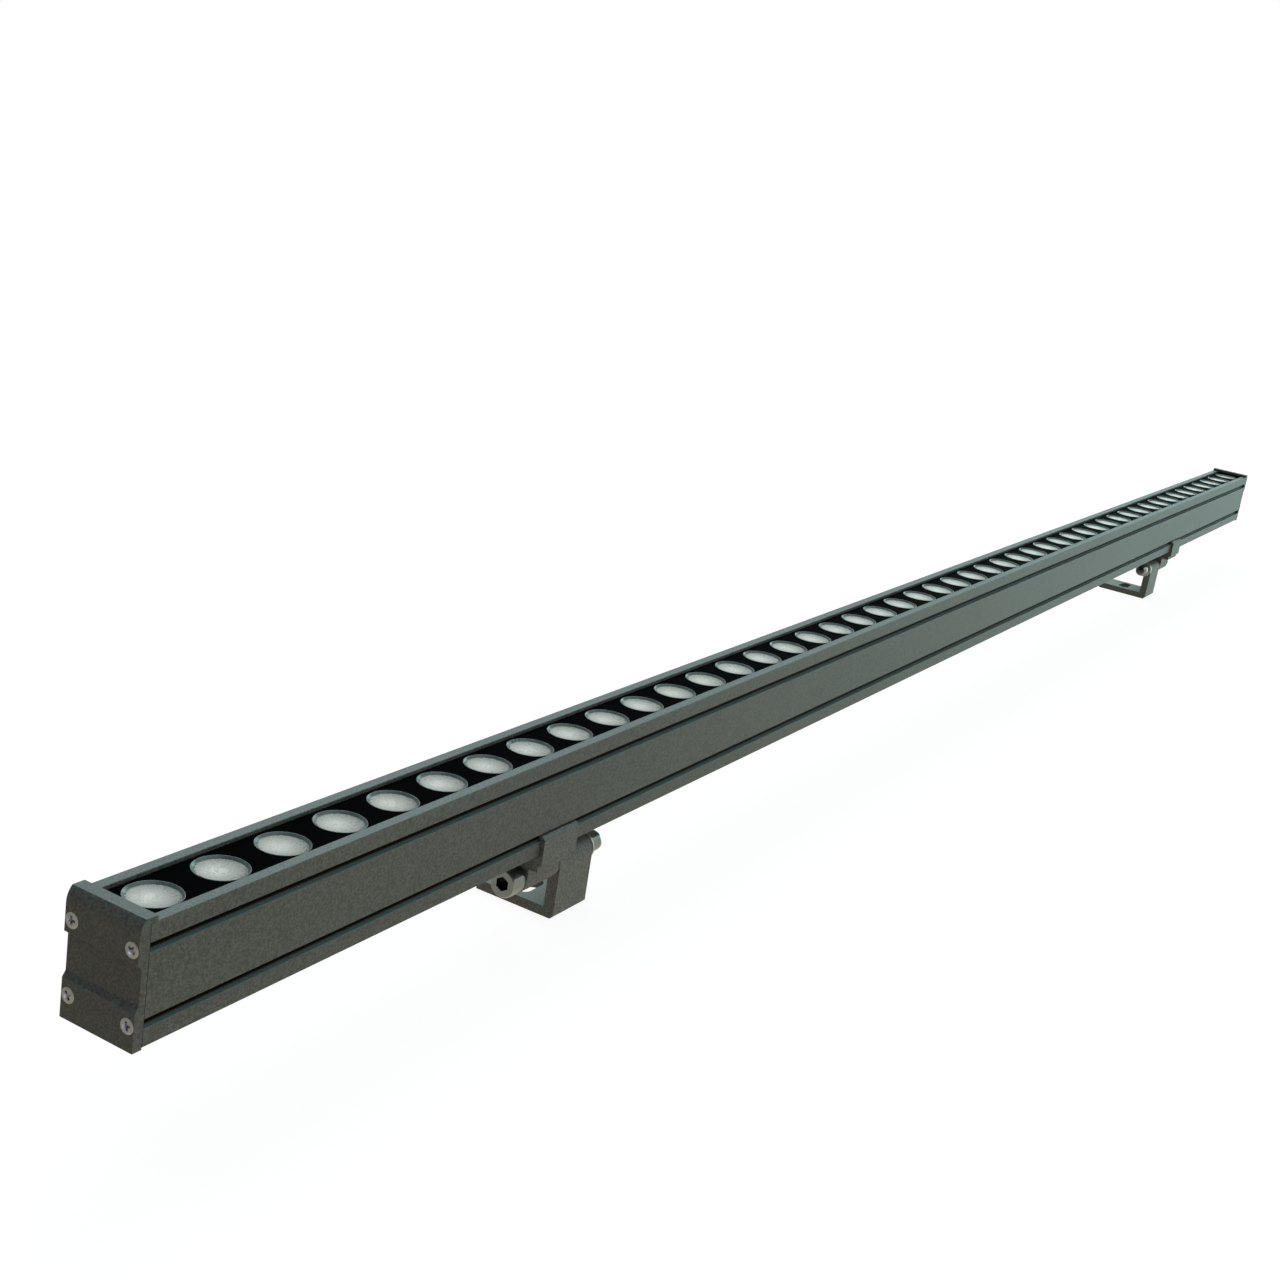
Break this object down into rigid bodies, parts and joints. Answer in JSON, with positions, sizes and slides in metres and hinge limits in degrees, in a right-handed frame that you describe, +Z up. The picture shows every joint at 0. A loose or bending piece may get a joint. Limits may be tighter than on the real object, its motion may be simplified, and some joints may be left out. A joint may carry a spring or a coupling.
{
  "type": "led strip batten",
  "caption": "Slim linear LED batten: grooved extruded bar with a row of round lenses, screwed end caps, and sliding clamps on tilting L-shaped feet.",
  "frame": {"origin": "on the mounting surface, midway between the fixing slots of the two feet", "axes": "+X along the bar towards the cable end, +Z up the way the light leaves, the feet's arms on the -Y side"},
  "size_m": [1.528, 0.0501, 0.0886],
  "materials": {
    "powder_coat": "fine textured anthracite powder coat, slightly green",
    "potting_black": "black sealing compound, satin",
    "lens_clear": "clear moulded lens with a finely crossed pattern on its window",
    "led_package": "white package with a pale yellow dome",
    "board_white": "white solder mask on an aluminium-core board",
    "thermal_pad_grey": "soft grey silicone sheet",
    "steel_screw": "plain stainless steel",
    "bright_steel": "bright polished steel",
    "gasket_black": "black silicone sheet",
    "black_nylon": "black moulded nylon",
    "board_green": "green glass-fibre circuit board",
    "terminal_green": "green moulded terminal block",
    "component_black": "black moulded component body",
    "capacitor_can": "sleeved aluminium can",
    "wire_red": "insulated wire"
  },
  "bodies": {
    "lamp_bar": {"board_links": "black_nylon", "board_screws": "steel_screw", "driver_board": "board_green", "driver_capacitors": "capacitor_can", "driver_transformer": "component_black", "driver_transistors": "component_black", "driver_tray": "black_nylon", "far_cap_screws": "steel_screw", "far_end_cap": "powder_coat", "far_gasket": "gasket_black", "feed_wires": "wire_red", "gland_body": "black_nylon", "gland_locknut": "black_nylon", "gland_nut": "black_nylon", "gland_seal": "gasket_black", "housing": "powder_coat", "input_terminal": "terminal_green", "led_board_1": "board_white", "led_board_2": "board_white", "led_board_3": "board_white", "led_board_4": "board_white", "leds_1": "led_package", "leds_2": "led_package", "leds_3": "led_package", "leds_4": "led_package", "lenses_1": "lens_clear", "lenses_2": "lens_clear", "lenses_3": "lens_clear", "lenses_4": "lens_clear", "near_cap_screws": "steel_screw", "near_end_cap": "powder_coat", "near_gasket": "gasket_black", "output_terminal": "terminal_green", "potting_seal": "potting_black", "thermal_pad_1": "thermal_pad_grey", "thermal_pad_2": "thermal_pad_grey", "thermal_pad_3": "thermal_pad_grey", "thermal_pad_4": "thermal_pad_grey", "wire_grommet": "gasket_black"},
    "near_bracket": {"near_bolt": "bright_steel", "near_clamp": "powder_coat", "near_dome_nut": "bright_steel", "near_friction_washer": "black_nylon", "near_head_washer": "bright_steel", "near_lock_screw": "steel_screw", "near_nut_washer": "bright_steel"},
    "near_foot": {"near_foot": "powder_coat"},
    "far_bracket": {"far_bolt": "bright_steel", "far_clamp": "powder_coat", "far_dome_nut": "bright_steel", "far_friction_washer": "black_nylon", "far_head_washer": "bright_steel", "far_lock_screw": "steel_screw", "far_nut_washer": "bright_steel"},
    "far_foot": {"far_foot": "powder_coat"}
  },
  "joints": [
    {"name": "near_slide", "type": "slide", "parent": "lamp_bar", "child": "near_bracket", "axis": [1, 0, 0], "range_m": [-0.2, 0.4]},
    {"name": "near_tilt", "type": "hinge", "parent": "near_bracket", "child": "near_foot", "pos_m": [-0.48, -0.0166, 0.0267], "axis": [1, 0, 0], "range_deg": [-90, 75]},
    {"name": "far_slide", "type": "slide", "parent": "lamp_bar", "child": "far_bracket", "axis": [-1, 0, 0], "range_m": [-0.2, 0.4]},
    {"name": "far_tilt", "type": "hinge", "parent": "far_bracket", "child": "far_foot", "pos_m": [0.48, -0.0166, 0.0267], "axis": [1, 0, 0], "range_deg": [-90, 75]}
  ]
}
